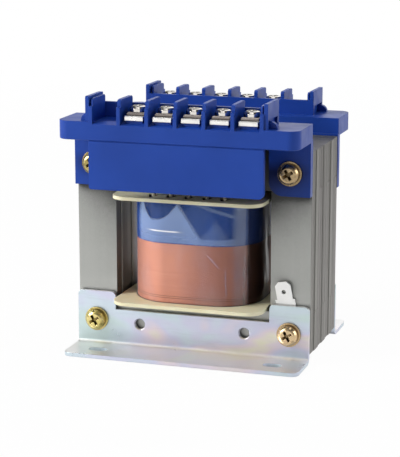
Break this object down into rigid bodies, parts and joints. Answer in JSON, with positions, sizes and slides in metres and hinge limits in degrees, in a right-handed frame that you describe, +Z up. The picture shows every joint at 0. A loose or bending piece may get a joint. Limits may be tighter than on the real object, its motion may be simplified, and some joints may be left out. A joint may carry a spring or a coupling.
{
  "type": "control transformer",
  "caption": "open control transformer with a laminated core, wound bobbin, front and rear terminal blocks with screw clamps, slotted foot brackets and an earth tab",
  "frame": {"origin": "on the mounting surface, under the middle of the core, which is the bottom centre of the bounding box", "axes": "X runs along the foot brackets, left to right seen from the front; Y goes from the front, the side with the earth tab, to the rear; Z is up. Height along Z is the longest extent, depth along Y the shortest"},
  "size_m": [0.0962, 0.0856, 0.1044],
  "materials": {
    "lamination": "satin",
    "bobbin": "matt moulded nylon",
    "copper_wire": "enamelled copper wire",
    "interlayer_paper": "matt",
    "insulation_band": "glossy film",
    "film_wrap": "clear film",
    "block_moulding": "satin moulded nylon",
    "terminal_nickel": "bright nickel plate",
    "terminal_screw": "bright nickel plate",
    "lead_sleeve": "matt sleeving",
    "bracket_zinc": "bright zinc plate",
    "earth_tab": "bright tin plate",
    "bolt_zinc": "yellow zinc plate"
  },
  "bodies": {
    "root": {"core_e_packet_1": "lamination", "core_e_packet_2": "lamination", "core_e_packet_3": "lamination", "core_e_packet_4": "lamination", "core_e_packet_5": "lamination", "core_e_packet_6": "lamination", "core_e_packet_7": "lamination", "core_i_packet_1": "lamination", "core_i_packet_2": "lamination", "core_i_packet_3": "lamination", "core_i_packet_4": "lamination", "core_i_packet_5": "lamination", "core_i_packet_6": "lamination", "core_i_packet_7": "lamination", "bobbin": "bobbin", "primary_winding": "copper_wire", "interlayer_paper": "interlayer_paper", "secondary_winding": "copper_wire", "insulation_band": "insulation_band", "film_wrap": "film_wrap", "front_terminal_block": "block_moulding", "rear_terminal_block": "block_moulding", "front_terminal_1": "terminal_nickel", "front_terminal_2": "terminal_nickel", "front_terminal_3": "terminal_nickel", "front_terminal_4": "terminal_nickel", "front_terminal_5": "terminal_nickel", "rear_terminal_1": "terminal_nickel", "rear_terminal_2": "terminal_nickel", "rear_terminal_3": "terminal_nickel", "rear_terminal_4": "terminal_nickel", "rear_terminal_5": "terminal_nickel", "front_clamp_washers": "terminal_nickel", "rear_clamp_washers": "terminal_nickel", "front_terminal_screws": "terminal_screw", "rear_terminal_screws": "terminal_screw", "front_leads": "lead_sleeve", "rear_leads": "lead_sleeve", "front_bracket": "bracket_zinc", "rear_bracket": "bracket_zinc", "earth_tab": "earth_tab", "upper_bolts": "bolt_zinc", "lower_bolts": "bolt_zinc", "head_washers": "bolt_zinc", "nut_washers": "bolt_zinc", "spring_washers": "bolt_zinc", "nuts": "bolt_zinc"}
  },
  "joints": []
}
